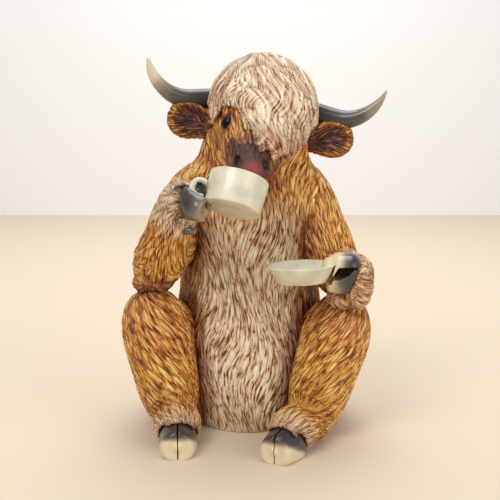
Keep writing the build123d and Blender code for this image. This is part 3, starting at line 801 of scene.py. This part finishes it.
hoof_paint, hoof_shader = surface("hoof_paint", 0.28, 0.4)
hoof_level = sum_of(hoof_paint, (value_of(hoof_paint, "along"), 1.0), (noise(hoof_paint, 160.0, 4.0), 0.25))
hoof_colour = ramp(hoof_paint, hoof_level, [
    (0.2, srgb(58, 52, 48)),
    (0.5, srgb(112, 102, 90)),
    (0.75, srgb(190, 170, 136)),
    (1.0, srgb(232, 216, 180)),
])
link(hoof_paint, hoof_colour, hoof_shader.inputs["Base Color"])
for name, toe, root, pale in (
    ("right_hind_left_claw", RIGHT_HIND_TOE, RIGHT_HIND, HIND_PALE),
    ("right_hind_right_claw", RIGHT_HIND_TOE, RIGHT_HIND, HIND_PALE),
    ("left_hind_left_claw", LEFT_HIND_TOE, LEFT_HIND, HIND_PALE),
    ("left_hind_right_claw", LEFT_HIND_TOE, LEFT_HIND, HIND_PALE),
    ("right_fore_upper_claw", RIGHT_FORE_TOE, RIGHT_FORE, RIGHT_FORE_PALE),
    ("right_fore_lower_claw", RIGHT_FORE_TOE, RIGHT_FORE, RIGHT_FORE_PALE),
    ("left_fore_upper_claw", (-1, -0.07, 0.2), LEFT_FORE, (4.5, 12.5)),
    ("left_fore_lower_claw", (-1, -0.07, -0.4), LEFT_FORE, (5, 16)),
    ("right_fore_dewclaw", (0.6, -0.3, 0), (-27, -47, 90), (-3, 12)),
):
    web = [tuft(*LEFT_FORE_WEB)] if name == "left_fore_lower_claw" else []
    claw = cast(name, [name], 0.3, 16, web)
    points = read(claw, "co")
    low, high = (np.array(corner) * 1000 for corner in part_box(name))
    x, z = points[:, 0].copy(), points[:, 2].copy()
    if name == "left_fore_upper_claw":
        points[:, 0] += 0.35 * np.maximum(TOE_START - x, 0) - 0.5 * np.maximum(x - HEEL_START, 0)
        points[:, 2] += 0.4 * ease(x, 31, 36) * (high[2] - z) - 1.2 * (1 - ease(x, 26, 38))
    elif name == "left_fore_lower_claw":
        points[:, 0] += 0.52 * np.maximum(TOE_START - x, 0) - 0.5 * np.maximum(x - HEEL_START, 0)
        points[:, 2] += 0.5 * ease(x, 35, 45) * (z - low[2]) + 0.22 * (high[2] - z)
    elif name in ("right_fore_upper_claw", "right_fore_lower_claw"):
        points[:, 0] += 0.45 * np.maximum(-20 - x, 0)
        points[:, 2] += 4.0 * ease(x, -27, -17) * ("upper" in name)
    elif "hind" in name:
        aside = np.array((-toe[1], toe[0], 0)) / math.hypot(toe[0], toe[1])
        spread = SOLE_SPREAD * (1 - ease(z, 0, 7)) * ((points - np.array(root)) @ aside)
        inward = CLEFT_CLOSING * np.sign(((low + high) / 2 - np.array(root)) @ aside)
        points += (spread - inward)[:, None] * aside
        points[:, 2] = np.maximum(z - SOLE_CUT, 0) * high[2] / (high[2] - SOLE_CUT)
    write(claw, points)
    attribute(claw, "along", ease((points - np.array(root)) @ np.array(toe), *pale))
    claw.data.materials.append(hoof_paint)


# Cup and saucer: crockery of painted resin, off-white and glossy with small brush marks. The
# cup tips up to the muzzle with its handle glued on, and the saucer is held between two claws.
CUP_PLACE = (-4.6, -48.5, 102.8)
CUP_PITCH = -22
CUP_ROLL = 14
SAUCER_PLACE = (21.6, -46, 71.0)
SAUCER_ROLL = -2.5
EDGE_ROUNDING = 0.55

glaze, glaze_shader = surface("crockery_gloss", 0.3, 0.3)
glaze_colour = ramp(glaze, noise(glaze, 140.0, 6.0), [
    (0.3, srgb(206, 198, 172)),
    (0.55, srgb(226, 220, 198)),
    (0.8, srgb(240, 236, 218)),
])
link(glaze, glaze_colour, glaze_shader.inputs["Base Color"])


def vessel(name, foot, mouth, height, wall, floor, place):
    """A round vessel: a tapered cylinder, hollowed from its top, with rounded edges."""
    bpy.ops.mesh.primitive_cylinder_add(vertices=128, radius=foot / 2 * MM, depth=height * MM)
    made = bpy.context.object
    made.name = name
    bpy.ops.object.mode_set(mode="EDIT")
    bpy.ops.mesh.select_mode(type="FACE")
    bpy.ops.mesh.select_all(action="DESELECT")
    bpy.ops.object.mode_set(mode="OBJECT")
    for face in made.data.polygons:
        face.select = face.normal.z > 0.5
    bpy.ops.object.mode_set(mode="EDIT")
    grow = mouth / foot
    bpy.ops.transform.resize(value=(grow, grow, 1))
    bpy.ops.mesh.inset(thickness=wall * MM)
    bpy.ops.mesh.extrude_region_move(TRANSFORM_OT_translate={"value": (0, 0, -(height - floor) * MM)})
    shrink = (foot - 2 * wall) / (mouth - 2 * wall)
    bpy.ops.transform.resize(value=(shrink, shrink, 1))
    bpy.ops.object.mode_set(mode="OBJECT")
    soften = made.modifiers.new("soften", "BEVEL")
    soften.width = EDGE_ROUNDING * MM
    soften.segments = 4
    soften.limit_method = "ANGLE"
    bpy.ops.object.modifier_apply(modifier="soften")
    bpy.ops.object.shade_smooth_by_angle(angle=math.radians(35))
    made.data.transform(place)
    made.data.materials.append(glaze)
    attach(made, "root")
    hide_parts(name)
    bpy.ops.object.select_all(action="DESELECT")
    return made


pitch = Euler((math.radians(CUP_PITCH), 0, 0)).to_matrix().to_4x4()
roll = Euler((0, math.radians(CUP_ROLL), 0)).to_matrix().to_4x4()
cup_place = Matrix.Translation(Vector(CUP_PLACE) * MM) @ (pitch @ roll)
vessel("cup", foot=22.8, mouth=23.8, height=13.4, wall=1.5, floor=2.0, place=cup_place)
level = Euler((0, math.radians(SAUCER_ROLL), 0)).to_matrix().to_4x4()
saucer_place = Matrix.Translation(Vector(SAUCER_PLACE) * MM) @ level
vessel("saucer", foot=20.0, mouth=27.5, height=7.0, wall=1.8, floor=2.2, place=saucer_place)
handle = cast("cup_handle", ["cup_handle"], 0.25, 4)
handle.data.materials.append(glaze)


# Tail: a cord of resin round the rump with a tuft of pale hair at its end, both cast on the
# back of the torso.
tail_guides = [
    ((0, 34, 20), (0, 0.2, -1)),
    ((12, 36, 8), (1, 0, -0.4)),
    ((26, 30, 4), (1, -0.6, 0)),
]
tail = cast("tail", ["tail"], 0.45, 6)
lie = along_guides(read(tail, "co"), tail_guides)
points, normals = carve(tail, 61, lie, length=9.0, depth=0.7, spacing=3.6, curl=0.15)
comb(tail, points[:, 2], points[:, 0])
paint(tail, np.zeros(len(points)), np.zeros(len(points)), np.full(len(points), 0.3))
switch = cast("tail_tuft", ["tail_tuft"], 0.45, 4)
lie = along_guides(read(switch, "co"), tail_guides)
points, normals = carve(switch, 62, lie, length=14.0, depth=1.0, spacing=4.6, curl=0.15)
comb(switch, points[:, 2] + points[:, 1], points[:, 0])
attribute(switch, "tip", ease(points[:, 0], 26, 42))
switch.data.materials.append(hair_paint)


# Dowels and pins: turned wooden rods between the castings and steel wire in the horn roots,
# glued in their sockets and out of sight.
wood, wood_shader = surface("dowel_wood", 0.6)
wood_colour = ramp(wood, noise(wood, 400.0), [(0.3, srgb(186, 144, 92)), (0.7, srgb(222, 186, 134))])
link(wood, wood_colour, wood_shader.inputs["Base Color"])
steel, steel_shader = surface("pin_steel", 0.35)
steel_shader.inputs["Metallic"].default_value = 1.0
steel_colour = ramp(steel, noise(steel, 400.0), [(0.3, srgb(150, 150, 152)), (0.7, srgb(190, 190, 192))])
link(steel, steel_colour, steel_shader.inputs["Base Color"])
for name, slot, material in (
    ("neck_dowel", "dowel", wood),
    ("right_hip_dowel", "dowel", wood),
    ("left_hip_dowel", "dowel", wood),
    ("right_shoulder_dowel", "dowel", wood),
    ("left_shoulder_dowel", "dowel", wood),
    ("right_horn_pin", "pin", steel),
    ("left_horn_pin", "pin", steel),
):
    rod = cast(name, [name], 0.25, 2)
    rod.data.materials.append(material)


# Stage: a pale floor with a backdrop behind it, soft light from above and in front, and a
# camera at the photograph's viewing angle. Places here are in metres.
STAGE_SIZE = 6
BACKDROP_DISTANCE = 0.9
AIM = (0, 0, 0.08)
WORLD_LIGHT = 0.42
CAMERA_PLACE = (0.001, -0.374, 0.127)
CAMERA_DROP = 8.1
CAMERA_LENS = 60
CAMERA_SENSOR = 36

bpy.ops.mesh.primitive_plane_add(size=STAGE_SIZE, location=(0, 0, 0))
floor = bpy.context.object
floor.name = "floor"
floor_paint, floor_shader = surface("floor_paint", 0.7)
floor_shader.inputs["Base Color"].default_value = srgb(226, 210, 186)
floor.data.materials.append(floor_paint)
bpy.ops.mesh.primitive_plane_add(
    size=STAGE_SIZE, location=(0, BACKDROP_DISTANCE, 0), rotation=(math.radians(90), 0, 0)
)
wall = bpy.context.object
wall.name = "backdrop"
wall_paint, wall_shader = surface("wall_paint", 0.9)
wall_shader.inputs["Base Color"].default_value = srgb(244, 244, 246)
wall.data.materials.append(wall_paint)

for name, place, aim, size, power in (
    ("key", (-0.35, -0.55, 0.75), AIM, 0.45, 3.3),
    ("fill", (0.6, -0.5, 0.35), AIM, 0.6, 1.9),
    ("top", (0.05, 0.15, 0.85), AIM, 0.5, 2.4),
    ("back", (0, 0.4, 0.8), (0, BACKDROP_DISTANCE, 0.25), 0.6, 3.0),
):
    lamp = bpy.data.lights.new(name, "AREA")
    lamp.energy = power
    lamp.size = size
    light = bpy.data.objects.new(name, lamp)
    bpy.context.collection.objects.link(light)
    light.location = place
    light.rotation_euler = (Vector(aim) - Vector(place)).to_track_quat("-Z", "Y").to_euler()
world = bpy.data.worlds.new("studio")
world.use_nodes = True
world.node_tree.nodes["Background"].inputs["Color"].default_value = (1, 1, 1, 1)
world.node_tree.nodes["Background"].inputs["Strength"].default_value = WORLD_LIGHT
bpy.context.scene.world = world

lens = bpy.data.cameras.new("camera")
lens.lens = CAMERA_LENS
lens.sensor_width = CAMERA_SENSOR
camera = bpy.data.objects.new("camera", lens)
bpy.context.collection.objects.link(camera)
camera.location = CAMERA_PLACE
camera.rotation_euler = (math.radians(90 - CAMERA_DROP), 0, 0)
bpy.context.scene.camera = camera
bpy.context.scene.view_settings.view_transform = "Standard"
